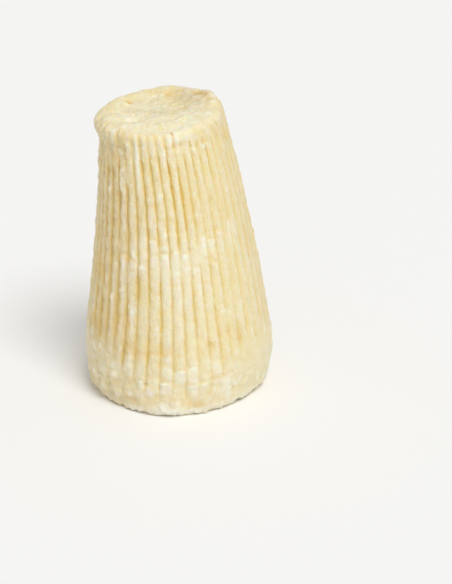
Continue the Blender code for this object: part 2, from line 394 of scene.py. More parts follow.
TOP_PITS = in_metres([
    (-2.304, 27, 1.6, 2.4, 0.6), (-2.45, 24, 3, 1.6, -0.7), (2.87, 27.2, 2.2, 1.4, 0.4),
    (2.6, 32.8, 1.2, 2.4, 0.6), (2.18, 31.8, 3, 1.2, 0.8), (2.04, 33, 3.6, 1.2, 0.9),
    (1.86, 34.5, 3, 1.2, 0.7), (1.64, 35.2, 1.4, 2, 0.5), (1.57, 20.9, 1.4, 2, 0.4),
    (2.3, 35, 5, 2, -1), (2.08, 37, 5.5, 2, -0.8), (1.8, 37.8, 4, 2, -0.6),
    (1.95, 29.2, 4, 1.8, -1), (1.7, 31, 2.6, 2, -0.9), (1.56, 38, 3, 2.6, -0.8),
    (1.48, 24, 2.2, 2, -0.7), (2.3, 25, 2.8, 2, -0.8), (0.76, 26, 5, 3, -0.7),
    (-0.82, 23, 4, 2.6, -0.6),
], 1, 2, 3, 4)
PIT_SHIFT = 0.0009
PIT_SHIFT_SIZE = 0.0021
PIT_SHARPNESS = 2.5
PIT_FULL = 0.001
PIT_HALF_TURN = 2.0

# Small ones are scattered by chance: how many, the ranges of their half widths and of
# their depths and half lengths as shares of that, pit or lump, and where they lie.
# Three heights crowd them round the middle one. In the dish it is a share of its area.
LIP_PITS = (120, (0.0006, 0.0015), (0.15, 0.45), (0.8, 2.2), (1, -0.9), (0.186, 0.197, 0.207))
RIB_PITS = (320, (0.0005, 0.0011), (0.25, 0.6), (0.8, 2.5), (1, -1), (0.008, 0.19))
DISH_PITS = (45, (0.0007, 0.002), (0.2, 0.4), (0.6, 1.4), (0.5, 0.5, -1), (0.01, 1))
DISH_PIT_REACH = 0.04


def small_pits(chance, count, widths, depths, lengths, signs, levels):
    """Small seeded pits and lumps of one kind, anywhere round the cheese."""
    pits = []
    crowded = len(levels) == 3
    for _ in range(count):
        level = chance.triangular(*levels) if crowded else None
        width = chance.uniform(*widths)
        depth = width * chance.uniform(*depths) * chance.choice(signs)
        angle = chance.uniform(-math.pi, math.pi)
        level = level if crowded else chance.uniform(*levels)
        pits.append((angle, level, width, width * chance.uniform(*lengths), depth))
    return pits


def scattered_pits():
    """All the pits and lumps of the side and of the top face."""
    chance = np.random.default_rng(11)
    side = small_pits(chance, *LIP_PITS) + small_pits(chance, *RIB_PITS)
    dish = small_pits(chance, *DISH_PITS)
    top = [(angle, DISH_PIT_REACH * math.sqrt(area), *rest) for angle, area, *rest in dish]
    return SIDE_PITS + side, TOP_PITS + top


def pit_relief(places, angle, radius, height):
    """Depth of the pits at each place, and the share of a full pit there, which is painted shade."""
    side, top = scattered_pits()
    ragged = PIT_SHIFT * noise_at(places, PIT_SHIFT_SIZE, 12)
    relief = np.zeros_like(angle)
    wall = np.nonzero(radius > CREST_RADIUS)[0]
    for middle, level, half_width, half_length, depth in side:
        aside = turn_between(angle[wall], middle)
        across = (radius[wall] * np.sin(aside) + ragged[wall]) / half_width
        along = (height[wall] + ragged[wall] - level) / half_length
        dent = np.exp(-(np.hypot(across, along) ** PIT_SHARPNESS))
        relief[wall] -= depth * dent * (np.abs(aside) <= PIT_HALF_TURN)
    face = np.nonzero((radius < LIP_RADIUS) & (height > LIP_HEIGHT))[0]
    for middle, place, half_width, half_length, depth in top:
        aside = turn_between(angle[face], middle)
        across = (radius[face] * np.sin(aside) + ragged[face]) / half_width
        along = (radius[face] * np.cos(aside) - place) / half_length
        relief[face] -= depth * np.exp(-(np.hypot(across, along) ** PIT_SHARPNESS))
    return relief, np.clip(-relief / PIT_FULL, 0, 1)


# The skin. Each kind of unevenness has the size of its features, then how far it stands
# out everywhere, and how much more in each zone: on the rim, under the lip, at the
# foot, in the dish, and at the edge that it stands on.
LUMPS = (0.0085, 0.00028, (0.0006, 0.0004, 0.0008, 0.0005, 0))
KNOBS = (0.0032, 0.00028, (0, 0.0003, 0.0004, 0, 0))
CREASES = (0.004, 0.0002, (0, 0, 0.0006, 0, 0))
GRAINS = (0.0038, 0.00022, (0, 0.0002, 0.0003, 0.0005, 0))
GRIT = (0.0018, 0.00018, (0, 0, 0, -0.00009, 0.0002))
COARSE_SMEARS = (0.007, 0, (0, 0, 0, 0.0013, 0))
FINE_SMEARS = (0.0026, 0, (0, 0, 0, 0.0006, 0))
FINE_CRUMBS = (0.0024, 0, (0, 0, 0, 0, 0.0009))
CRUMB_SIZE = 0.005
CRUMB_HEIGHT = 0.0018
CRUMB_MOST = 0.3
GRAIN_SEAM = 0.3
GRAIN_PATCHES = 0.013
RIM_ZONE_REACH = 0.009
RIM_ZONE_FOOT = LIP_HEIGHT - 0.008
LIP_ZONE_START = (0.184, 0.194)
LIP_ZONE_END = (LIP_HEIGHT - 0.002, RIM_HEIGHT)
FOOT_ZONE = (0.012, 0.04)
DISH_ZONE = (0.6 * CREST_RADIUS, CREST_RADIUS)
EDGE_ZONE = (0.001, 0.007)
DRAWN = np.array([1, 1, 0.5])
CREASED = np.array([0.35, 0.35, 1])
SMEAR_TURN = 0.45
SMEAR_STRETCH = 0.45
ROUGHER = [(-1, 0.6, 1.2), (2.6, 0.5, 0.6)]


def pressed_grains(places, size, seed):
    """Curd grains pressed together: 0 on the grains, down to -1 in the seams between them."""
    spots = places / size + seed * SEED_STEP
    nearest = np.array([noise.voronoi(spot)[0][:2] for spot in spots.tolist()])
    return smooth_step(0, GRAIN_SEAM, nearest[:, 1] - nearest[:, 0]) - 1


def smeared(places):
    """The same places squeezed along the way that the dish was wiped."""
    along = math.cos(SMEAR_TURN)
    aside = math.sin(SMEAR_TURN)
    x, y, z = places.T
    return np.stack([SMEAR_STRETCH * (x * along + y * aside), y * along - x * aside, z], axis=-1)


def curd_relief(places, angle, radius, height):
    """Uneven skin: slow lumps, knobs, pressed grains, and smears wiped over the dish."""
    on_rim = hump(radius - CREST_RADIUS, RIM_ZONE_REACH) * (height > RIM_ZONE_FOOT)
    in_dish = 1 - smooth_step(*DISH_ZONE, radius)
    under_lip = smooth_step(*LIP_ZONE_START, height) * (1 - smooth_step(*LIP_ZONE_END, height))
    at_foot = 1 - smooth_step(*FOOT_ZONE, height)
    at_edge = 1 - smooth_step(*EDGE_ZONE, height)
    zones = (on_rim, under_lip * (1 - in_dish), at_foot, in_dish, at_edge)

    def uneven(kind, spots, seed, made=noise_at):
        size, everywhere, more = kind
        return made(spots, size, seed) * (everywhere + sum(m * zone for m, zone in zip(more, zones)))

    drawn = places * DRAWN
    wiped = smeared(places)
    patchy = (1 + noise_at(places, GRAIN_PATCHES, 14)) / 2
    skin = uneven(LUMPS, drawn, 4) + uneven(KNOBS, drawn, 5)
    skin = skin + uneven(CREASES, places * CREASED, 13) + uneven(GRIT, places, 7)
    skin = skin + uneven(FINE_SMEARS, wiped, 6) + uneven(COARSE_SMEARS, wiped, 20)
    skin = skin + uneven(GRAINS, drawn, 15, pressed_grains) * patchy
    crumbs = CRUMB_HEIGHT * at_edge * np.clip(noise_at(places, CRUMB_SIZE, 8), -1, CRUMB_MOST)
    return skin * (1 + swell(angle, ROUGHER)) + crumbs + uneven(FINE_CRUMBS, places, 19)


# The mesh: rings from the middle of the dish out over the rim and down the side,
# then one flat face that the cheese stands on. Columns crowd at the grooves.
COLUMNS_PER_RIB = 10
COLUMNS = COLUMNS_PER_RIB * RIB_COUNT
COLUMN_CROWDING = 0.08
DISH_RINGS = 17
DISH_COLUMN_STEP = 9
SLOPE_RINGS = 17
LIP_RINGS = 9
WALL_RINGS = 174
FOOT_RINGS = 10

# How the bars wander to each side up the cheese: (how far as a share of a rib, how
# finely round the cheese, how finely up it, seed). At a fineness of 1 the noise runs
# round a circle of the first radius below, and changes over the height after it.
WANDERS = [(0.045, 1.7, 1.7, 3), (0.028, 6, 4.5, 10), (0.028, 8, 9.5, 16)]
WANDER_ROUND = 4
WANDER_HEIGHT = 0.022


def outline_rings():
    """Radius, height and column count of each ring, from the dish to the foot."""
    floor = RIM_HEIGHT - DISH_DEPTH
    rings = []
    for step in range(1, DISH_RINGS + 1):
        rings.append((DISH_RADIUS * step / (DISH_RINGS + 1), floor, DISH_COLUMN_STEP * step))
    for step in range(SLOPE_RINGS):
        share = step / SLOPE_RINGS
        rise = DISH_DEPTH * (1 - math.cos(math.pi * share)) / 2
        rings.append((DISH_RADIUS + (CREST_RADIUS - DISH_RADIUS) * share, floor + rise, COLUMNS))
    for step in range(LIP_RINGS):
        quarter = math.pi / 2 * step / LIP_RINGS
        radius = CREST_RADIUS + (LIP_RADIUS - CREST_RADIUS) * math.sin(quarter)
        height = LIP_HEIGHT + (RIM_HEIGHT - LIP_HEIGHT) * math.cos(quarter)
        rings.append((radius, height, COLUMNS))
    for step in range(WALL_RINGS):
        height = LIP_HEIGHT + (FOOT_HEIGHT - LIP_HEIGHT) * step / WALL_RINGS
        rings.append((float(wall_radius(height)), height, COLUMNS))
    edge = float(wall_radius(FOOT_HEIGHT))
    for step in range(FOOT_RINGS + 1):
        quarter = math.pi / 2 * step / FOOT_RINGS
        radius = FOOT_RADIUS + (edge - FOOT_RADIUS) * math.cos(quarter)
        rings.append((radius, FOOT_HEIGHT * (1 - math.sin(quarter)), COLUMNS))
    return rings


def stitched(inner, outer):
    """Faces between two rings of vertices, which may have unlike counts."""
    if len(inner) == len(outer):
        after = [*range(1, len(inner)), 0]
        return [(inner[i], outer[i], outer[j], inner[j]) for i, j in enumerate(after)]
    faces = []
    i = j = 0
    while i < len(inner) or j < len(outer):
        if (j + 1) / len(outer) <= (i + 1) / len(inner):
            faces.append((inner[i % len(inner)], outer[j], outer[(j + 1) % len(outer)]))
            j += 1
        else:
            faces.append((inner[i], outer[j % len(outer)], inner[(i + 1) % len(inner)]))
            i += 1
    return faces


def wandered(turn, height):
    """How far a bar has wandered sideways, as a share of a rib."""
    round_x = np.cos(turn) * WANDER_ROUND
    round_y = np.sin(turn) * WANDER_ROUND
    spots = np.stack([round_x, round_y, height / WANDER_HEIGHT], axis=-1)
    total = np.zeros_like(turn)
    for far, around, upwards, seed in WANDERS:
        total = total + far * noise_at(spots * np.array([around, around, upwards]), 1, seed)
    return total


def settled(radius, height, phase):
    """Places of the standing cheese, its angle there, and its shares of whey yellow with painted shade,
    painted rib highlight, painted crack shade and ledge height.
    """
    turn = phase * RIB_PITCH
    angle = rib_angle(turn)
    on_side = smooth_step(DISH_RADIUS, LIP_RADIUS, radius)
    angle = angle + on_side * (RIB_PITCH * wandered(turn, height) + askew(angle, height))
    ribs, whey_and_shade, pale = rib_relief(phase, angle, height)
    ledges, crack_shades = ledge_relief(angle, height)
    side = swell(angle, LIP_BULGES) * hump(height - LIP_HEIGHT, LIP_BULGE_REACH)
    side = side + swell(angle, BELLY_SWELLS) * hump(height - BELLY_SWELL_HEIGHT, BELLY_SWELL_REACH)
    side = side + swell(angle, FOOT_SWELLS) * (1 - smooth_step(0, FOOT_SWELL_REACH, height))
    reach = radius + on_side * (side + ribs + ledges)
    across = reach * np.sin(angle)
    back = -reach * np.cos(angle)
    tilted = smooth_step(TILT_START, RIM_HEIGHT, height)
    rise = TOP_SLOPE_SIDE * across + TOP_SLOPE_BACK * back
    rise = rise + swell(angle, RIM_SWELLS) * hump(radius - CREST_RADIUS, RIM_SWELL_REACH)
    rise = rise + swell(angle, DISH_SWELLS) * hump(radius - DISH_SWELL_RADIUS, DISH_SWELL_REACH)
    on_dish = tilted * (1 - on_side)
    across = across + LEAN_SIDE * height + LEAN_SIDE_BEND * height**2 + DISH_OFFSET_SIDE * on_dish
    back = back + LEAN_BACK_BEND * height**2 + DISH_OFFSET_BACK * on_dish
    places = np.stack([across, back, height + tilted * rise], axis=-1)
    return places, angle, on_side * np.stack([whey_and_shade, pale, crack_shades, ledges])


rings = outline_rings()
counts = [count for _, _, count in rings]
even = np.concatenate([[0.0], *[np.arange(count) / count for count in counts]]) * RIB_COUNT
ring_radius = np.array([0.0, *np.repeat([radius for radius, _, _ in rings], counts)])
ring_height = np.repeat([height for _, height, _ in rings], counts)
ring_height = np.array([RIM_HEIGHT - DISH_DEPTH, *ring_height])
phase = even - COLUMN_CROWDING * np.sin(math.tau * even)
places, angles, shares = settled(ring_radius, ring_height, phase)
whey_and_shade_share, rib_highlight_share, crack_shade_share, ledge_height = shares

firsts = np.cumsum([1, *counts]).tolist()
loops = [list(range(first, first + count)) for first, count in zip(firsts, counts)]
faces = [(0, loops[0][i], loops[0][(i + 1) % len(loops[0])]) for i in range(len(loops[0]))]
for inner, outer in zip(loops, loops[1:]):
    faces += stitched(inner, outer)
faces.append(tuple(reversed(loops[-1])))

curd_mesh = bpy.data.meshes.new("curd_body")
curd_mesh.from_pydata(places.tolist(), [], faces)
curd_mesh.update()
normals = np.zeros(len(places) * 3)
curd_mesh.vertex_normals.foreach_get("vector", normals)
normals = normals.reshape(-1, 3)

# Pale places, where firmer curd stands a little proud: (angle, height, half width, half
# height, strength).
BLOOMS = in_metres([
    (0.02, 112, 0.4, 30, 0.36), (0.12, 60, 0.3, 30, 0.2), (-0.34, 126, 0.16, 9, 0.4),
    (0.02, 200, 0.42, 8, 0.32), (-0.55, 38, 0.16, 7, 0.45), (-0.515, 48.5, 0.026, 2, 0.9),
    (-0.506, 43, 0.026, 3, 0.7), (-0.515, 37, 0.028, 1.8, 0.7), (-0.497, 30, 0.018, 5, 0.5),
    (-0.375, 26, 0.023, 2.2, 1), (-0.337, 23, 0.018, 1.2, 0.8), (-0.363, 20, 0.018, 2.2, 0.6),
    (-0.21, 27, 0.026, 3.5, 0.5), (-0.14, 26.5, 0.04, 1.2, 1), (-0.052, 32, 0.018, 7, 0.6),
    (-0.1, 38, 0.05, 2, 0.5), (0.066, 36.5, 0.03, 2, 1), (0.01, 35, 0.036, 1.4, 0.6),
    (0.192, 39.5, 0.042, 1.4, 1), (0.175, 24, 0.052, 2.8, 0.5), (0.305, 25.5, 0.036, 1.4, 0.7),
    (-0.7, 33, 0.044, 3.5, 0.5), (-0.768, 45, 0.035, 4.5, 0.4), (-0.637, 47, 0.026, 3.5, 0.5),
    (-0.51, 15, 0.03, 2, 0.9), (-0.38, 16, 0.07, 1.6, 0.4), (0.576, 23, 0.05, 3.5, 0.8),
    (0.69, 19.5, 0.016, 1.6, 0.9), (0.19, 19, 0.04, 3, 0.5), (0.28, 23, 0.02, 1, 0.7),
    (-0.96, 43, 0.026, 2.2, 0.6), (-0.75, 33, 0.022, 2.2, 0.7), (0.35, 42, 0.044, 3, 0.4),
    (0.68, 45, 0.026, 1.8, 0.5), (-0.29, 28, 0.014, 1.2, 0.7), (-0.14, 20, 0.052, 2.4, 0.4),
    (-0.07, 46, 0.035, 3, 0.4), (0.66, 22, 0.026, 2.4, 0.5), (-0.385, 175, 0.028, 16, 0.8),
    (-0.698, 170, 0.036, 10, 0.9), (-0.628, 164, 0.018, 6, 0.6), (-0.087, 163, 0.026, 5, 0.6),
    (0.733, 192.5, 0.08, 1.4, 0.5), (-0.735, 192.5, 0.022, 1.4, 0.7), (-0.663, 191.2, 0.024, 1.4, 0.8),
    (-0.515, 199, 0.016, 1.6, 0.6), (-0.378, 195, 0.024, 11, 0.7), (-0.27, 197.8, 0.028, 1, 0.7),
    (-0.085, 196.5, 0.016, 2.2, 0.6), (0.17, 203, 0.04, 2.6, 0.9), (0.285, 203, 0.05, 2.6, 0.9),
    (0.4, 203.5, 0.05, 1.6, 0.5), (-0.82, 202, 0.026, 4, 0.7), (-0.5, 185, 0.024, 4, 0.5),
    (-0.645, 179, 0.022, 1.4, 0.9), (-0.97, 187, 0.04, 2.6, 0.5), (0.66, 194, 0.018, 1, 0.6),
    (0.505, 193, 0.026, 1, 0.8), (0.035, 187, 0.014, 3.5, 0.6), (-0.085, 185, 0.014, 4, 0.6),
    (0.401, 162, 0.036, 1.4, 0.6), (-0.65, 110, 0.03, 4, 0.9), (-0.506, 118, 0.024, 3, 0.5),
    (-0.384, 110.5, 0.03, 2, 0.5), (-1.065, 110, 0.035, 4, 0.6), (-0.645, 85, 0.022, 20, 0.6),
    (-0.505, 75, 0.022, 14, 0.7), (-0.8, 82, 0.024, 22, 0.6), (0.42, 126, 0.05, 6, 0.5),
    (0.52, 124, 0.04, 5, 0.6), (-0.367, 112, 0.052, 1.8, 0.5), (-0.244, 130, 0.052, 1.2, 0.3),
    (-0.079, 119.5, 0.026, 1.8, 0.9), (0.044, 123, 0.044, 1.2, 0.6), (0.157, 119, 0.035, 1.4, 0.7),
    (0.279, 110, 0.035, 1.2, 0.6), (0.401, 130, 0.052, 1.4, 0.4), (0.654, 132, 0.026, 1.4, 0.4),
    (-0.497, 120, 0.026, 2.4, 0.4), (-0.654, 110, 0.026, 2.4, 0.7), (-0.07, 134, 0.035, 2.2, 0.5),
    (0.096, 134, 0.012, 1.2, 0.9), (-0.305, 127.5, 0.012, 1.2, 0.9), (-0.018, 144, 0.018, 0.8, 0.9),
    (-0.42, 3.5, 0.16, 2.6, 0.8), (-0.06, 5, 0.18, 4.2, 1), (0.22, 3.5, 0.14, 2.6, 0.9),
    (0.56, 5, 0.2, 3.6, 0.8), (1, 5, 0.25, 3, 0.6), (-0.13, 9.5, 0.04, 3, 0.7),
    (-0.8, 4, 0.2, 2.2, 0.4), (2.2, 5, 0.4, 3, 0.6), (-2.1, 5, 0.4, 3, 0.5),
    (3.1, 5, 0.35, 3, 0.6),
], 1, 3)
BLOOM_RISE = 0.00032
FOOT_BLOOM_BAND = (0.06, 0.045)
BLOOM_SHARPNESS = 2.5
MARK_RAGGEDNESS = 0.4
RAGGED_EDGE = 0.003

# Small ones are scattered all round the side, and more of them round the foot: how
# many, and the ranges of their heights, half widths, half heights and strengths.
SIDE_BLOOMS = (420, (0.01, 0.203), (0.01, 0.026), (0.0008, 0.0032), (0.2, 0.7))
FOOT_BLOOMS = (110, (0.006, 0.05), (0.012, 0.045), (0.001, 0.0034), (0.3, 0.7))


def scattered_marks(chance, count, *ranges):
    """Small marks round the side, with each of their values drawn from its own range."""
    marks = []
    for _ in range(count):
        angle = chance.uniform(-math.pi, math.pi)
        marks.append((angle, *[chance.uniform(*between) for between in ranges]))
    return marks


def marked(marks, angle, height, ragged, sharpness):
    """How strongly a list of spots on the side marks each place, from 0 to 1."""
    total = np.zeros_like(angle)
    for middle, level, half_width, half_height, strength in marks:
        aside = turn_between(angle, middle) / half_width + MARK_RAGGEDNESS * ragged
        above = (height - level) / half_height + MARK_RAGGEDNESS * ragged
        total = total + strength * np.exp(-(np.hypot(aside, above) ** sharpness))
    return np.clip(total, 0, 1)


# The skin is laid on the mesh along its own normals. It ends above the flat foot.
STANDING_EDGE = 0.0012
FOOT_GAP = 0.0002

ragged_edges = noise_at(places, RAGGED_EDGE, 18)
bloom_chance = np.random.default_rng(5)
blooms = BLOOMS + scattered_marks(bloom_chance, *SIDE_BLOOMS)
blooms = blooms + scattered_marks(bloom_chance, *FOOT_BLOOMS)
bloom = marked(blooms, angles, ring_height, ragged_edges, BLOOM_SHARPNESS)
bloom_rise = BLOOM_RISE * bloom * (1 + smooth_step(*FOOT_BLOOM_BAND, ring_height))
pits, pit_shade_share = pit_relief(places, angles, ring_radius, ring_height)
skin = curd_relief(places, angles, ring_radius, ring_height)
relief = (pits + skin + bloom_rise) * smooth_step(0, STANDING_EDGE, ring_height)
places = places + normals * relief[:, None]
places[:, 2] = np.where(ring_height > 0, np.maximum(places[:, 2], FOOT_GAP), 0)
curd_mesh.vertices.foreach_set("co", places.ravel())
curd_mesh.update()
curd_mesh.shade_smooth()

# Where whey has dried yellow in the skin: (angle, height, half width, half height, strength).
STAINS = in_metres([
    (-1.13, 104, 0.1, 12, 0.8), (-1.16, 60, 0.09, 6, 0.9), (-0.99, 60, 0.1, 10, 0.5),
    (-0.72, 68, 0.06, 16, 0.7), (-0.57, 62, 0.05, 14, 0.7), (-0.72, 85, 0.04, 6, 0.6),
    (-0.45, 50, 0.12, 6, 0.6), (-0.12, 53, 0.16, 5, 0.35), (0.2, 12, 0.25, 5, 0.3),
    (-0.725, 128.5, 0.026, 2.5, 0.8), (-0.75, 138, 0.052, 7, 0.4), (-0.113, 122.5, 0.045, 0.7, 0.7),
    (0.428, 117, 0.014, 1.6, 0.7), (0.07, 100, 0.07, 0.9, 0.5), (0.35, 100, 0.07, 0.9, 0.5),
    (1.18, 119, 0.07, 8, 0.6), (0.75, 58, 0.06, 8, 0.6), (0.61, 62, 0.05, 6, 0.6),
    (0.37, 56, 0.06, 6, 0.4), (-0.03, 144, 0.05, 3, 0.7), (-0.01, 122, 0.04, 2, 0.7),
    (0.6, 150, 0.3, 20, 0.25), (1.85, 110, 0.25, 20, 0.7), (2.6, 60, 0.3, 14, 0.7),
    (-2.4, 120, 0.25, 24, 0.6), (-2, 56, 0.35, 10, 0.7), (3.05, 150, 0.3, 16, 0.5),
    (0.115, 196.5, 0.045, 0.9, 0.6), (0.212, 198.3, 0.017, 1.4, 0.9), (0.218, 201.5, 0.007, 2.8, 0.7),
    (-0.18, 190.5, 0.014, 3.6, 0.8), (-0.325, 188, 0.012, 8, 0.7), (0.075, 199, 0.016, 2.4, 0.7),
    (0.48, 199, 0.022, 1.4, 0.7), (0.6, 196, 0.014, 1.2, 0.7), (-0.6, 195.5, 0.01, 2.4, 0.7),
    (-0.76, 195.5, 0.02, 1, 0.6), (0.725, 197.5, 0.02, 1.4, 0.6), (0.33, 198, 0.014, 1.3, 0.7),
    (0.47, 198.5, 0.02, 1.4, 0.6), (-0.585, 194.5, 0.016, 1.2, 0.6), (-0.7, 195, 0.04, 0.7, 0.5),
    (-0.82, 188, 0.045, 4.5, 0.5), (-0.62, 200, 0.02, 2, 0.35), (-0.7, 202, 0.02, 2, 0.35),
    (0, 194.5, 0.02, 2, 0.3), (0.585, 194.5, 0.02, 2, 0.5), (0.575, 188, 0.018, 2.2, 0.5),
    (0.715, 196, 0.03, 1.6, 0.4), (-0.463, 200.5, 0.012, 2, 0.7), (-0.83, 187, 0.11, 3.5, 0.4),
    (-0.12, 13.8, 0.09, 0.6, 0.9), (-0.02, 15, 0.04, 0.8, 0.5), (0.26, 9.5, 0.045, 1.8, 0.6),
    (-0.56, 11.5, 0.03, 1.4, 0.9), (-0.48, 10, 0.04, 2, 0.5), (-0.25, 11, 0.05, 1.4, 0.4),
    (0.13, 11, 0.06, 1.4, 0.4), (-0.73, 20, 0.06, 2.2, 0.4), (-0.95, 40, 0.06, 1.2, 0.5),
    (-0.37, 19, 0.01, 2.6, 0.5), (-0.53, 27, 0.05, 1.4, 0.5), (-0.125, 49, 0.06, 1.6, 0.6),
    (0.035, 48.5, 0.03, 1.4, 0.5), (-0.01, 40, 0.024, 3, 0.8), (0.4, 54, 0.035, 2.2, 0.6),
    (0.5, 29, 0.11, 1.2, 0.5), (0.17, 27, 0.06, 0.8, 0.6), (0.17, 19, 0.07, 0.8, 0.5),
    (-0.43, 49.5, 0.022, 2.2, 0.6), (-0.297, 49, 0.022, 2.6, 0.6), (-0.34, 21, 0.012, 1.8, 0.7),
    (0.26, 8.5, 0.06, 1.6, 0.4), (0.6, 8, 0.12, 3, 0.4), (-0.82, 24, 0.05, 2, 0.4),
    (-1.08, 94, 0.05, 4, 0.8), (-0.87, 92, 0.03, 5, 0.7), (-0.66, 74, 0.02, 5, 0.8),
    (-0.54, 68, 0.02, 4, 0.8), (1, 192, 0.3, 12, 0.3), (0.49, 61, 0.03, 4, 0.6),
    (0.89, 63, 0.03, 4, 0.5), (0.76, 54.5, 0.04, 1.6, 0.6), (0.385, 56, 0.035, 1.4, 0.6),
    (0.63, 45, 0.01, 4, 0.5), (0.52, 32, 0.06, 1, 0.4), (0.7, 40, 0.035, 1.4, 0.4),
    (0.85, 40, 0.03, 4, 0.3),
], 1, 3)
STAIN_SHARPNESS = 2
FOOT_STAINS = (80, (0.006, 0.056), (0.01, 0.04), (0.0008, 0.0024), (0.2, 0.5))

# The same on the top face: (angle, radius, half width, half length, strength).
TOP_STAINS = in_metres([
    (-0.705, 41.8, 1.6, 1.4, 0.5), (-0.6, 42, 1.2, 1.4, 0.5), (0.23, 40.7, 0.7, 1.8, 1),
    (-0.07, 41.5, 1.2, 1.6, 0.4), (0.6, 41, 2.2, 1, 0.4), (-2.304, 27, 1.8, 3, 1),
    (2.89, 27.2, 2.6, 1.7, 1), (2.64, 32.5, 1.4, 3, 0.8), (2.23, 32.2, 3, 1.7, 0.8),
    (2.04, 33, 3.6, 1.4, 0.9), (1.84, 34.5, 3.4, 1.5, 0.8), (1.65, 35, 3, 1.8, 0.7),
    (1.62, 36.5, 1.2, 1, 0.5), (1.57, 20, 3.4, 2.4, 0.6), (2.035, 24.6, 3, 1, 0.5),
    (2.35, 14, 1, 4, 0.3), (0.6, 43, 3, 1, 0.5), (0.8, 41.5, 3, 1.2, 0.3),
    (-0.21, 28, 1, 4, 0.25), (0.66, 6.2, 1, 1.6, 0.4), (0.12, 16, 0.8, 1.6, 0.4),
    (-0.55, 11, 1, 1.4, 0.4), (0.9, 15, 0.8, 2, 0.4), (3, 30, 11, 2.4, 0.4),
    (2.5, 20, 6, 4, 0.25), (0.08, 31, 2, 5, 0.35), (-1, 39, 4, 2, 0.3),
], 1, 2, 3)

# Pale places of the top face, in the same form.
TOP_BLOOMS = in_metres([
    (-0.82, 41.8, 1.3, 1.8, 0.9), (-0.95, 40.5, 2, 1.6, 0.5), (-0.56, 41.2, 1.2, 1.2, 0.6),
    (0.17, 41.8, 2.2, 1.4, 0.8), (0.3, 41.4, 3.4, 2, 0.9), (0.5, 40.5, 3.6, 1.8, 0.6),
    (0.35, 38.5, 4, 1.6, 0.5), (-0.375, 41.5, 1.2, 2.4, 0.7), (-0.21, 42, 1.4, 1.8, 0.4),
    (0.02, 42, 1.4, 1.6, 0.4), (0.75, 38.5, 3, 2.2, 0.6), (1.058, 26, 2.2, 3, 0.7),
    (1.133, 37.4, 2.2, 2.6, 0.8), (0.61, 36.6, 3.6, 2.6, 0.8), (-0.88, 23.4, 3, 2.6, 0.6),
    (-0.838, 41.8, 2, 1.6, 1), (-1.1, 33, 3, 2.2, 0.4), (-2.13, 18.9, 2.6, 2, 0.5),
    (-3.03, 27, 3, 1.4, 0.5), (-2.18, 25.5, 1.2, 1.2, 0.9), (1.45, 30, 2, 2.4, 0.6),
    (1.95, 29, 1.6, 2, 0.5), (1.75, 38.5, 2.4, 1.4, 0.6), (0.25, 35, 4, 2, 0.4),
    (0.955, 29.3, 3.6, 2.6, 0.6), (0.433, 30.7, 2.6, 3, 0.5), (0.663, 29, 3, 3, 0.5),
    (-0.35, 36, 4.4, 1.8, 0.4), (2.45, 35, 3, 1.6, 0.4),
], 1, 2, 3)
TOP_FACE_START = (LIP_HEIGHT - 0.001, LIP_HEIGHT + 0.003)
TOP_MARK_RAGGEDNESS = 0.5


def marked_top(marks, angle, radius, ragged):
    """How strongly a list of spots on the top face marks each place, from 0 to 1."""
    total = np.zeros_like(angle)
    for middle, place, half_width, half_length, strength in marks:
        aside = turn_between(angle, middle)
        across = radius * np.sin(aside) / half_width + TOP_MARK_RAGGEDNESS * ragged
        along = (radius * np.cos(aside) - place) / half_length + TOP_MARK_RAGGEDNESS * ragged
        total = total + strength * np.exp(-(across**2) - along**2)
    return np.clip(total, 0, 1)


on_top = smooth_step(*TOP_FACE_START, ring_height)
stains = STAINS + scattered_marks(np.random.default_rng(23), *FOOT_STAINS)
stain = (1 - on_top) * marked(stains, angles, ring_height, ragged_edges, STAIN_SHARPNESS)
stain = stain + on_top * marked_top(TOP_STAINS, angles, ring_radius, ragged_edges)
bloom = bloom * (1 - on_top)
bloom = bloom + on_top * marked_top(TOP_BLOOMS, angles, ring_radius, ragged_edges)

# Broad changes of colour: the front of the rim faces the light and is painted whiter, a
# painted highlight, and the foot is paler. The left flank, turned from the light, is darker
# beige, partly aged and partly painted shade, and so is the lower left; the right side of
# the top, and more faintly the right flank, have aged to beige, and the dish is greyer.
# Each is (angle, half width in angle, strength), over a band of heights or radii.
RIM_FRONT_HIGHLIGHT = [(0.15, 1.3, 1.0)]
RIM_FRONT_RADIUS = 0.031
RIM_FRONT_REACH = 0.012
FOOT_PALE_BAND = (0.026, 0.05)
LOW_LEFT = [(-0.8, 0.65, 1.0)]
LOW_LEFT_BAND = (0.004, 0.045)
LOW_LEFT_LESS_PALE = 0.4
LOW_LEFT_AGED_AND_SHADE = 0.8
LOW_LEFT_AGED_AND_SHADE_BAND = (0.008, 0.028)
AGED_AND_SHADED_SIDES = [(-0.9, 0.5, 0.8), (1.4, 0.35, 0.35)]
AGED_AND_SHADE_FOOT_BAND = (0.012, 0.055)
AGED_AND_SHADE_AT_FOOT = 0.1
AGED_TOP = [(1.95, 0.75, 0.9)]
AGED_TOP_RADIUS = 0.027
AGED_TOP_REACH = 0.01
GREY_DISH = (0.64 * CREST_RADIUS, 0.88 * CREST_RADIUS)
GREY_DISH_RAGGEDNESS = 0.002
YELLOW_SIDE = [(1.9, 1.0, 0.7)]
YELLOW_SIDE_RADII = (0.006, 0.018)

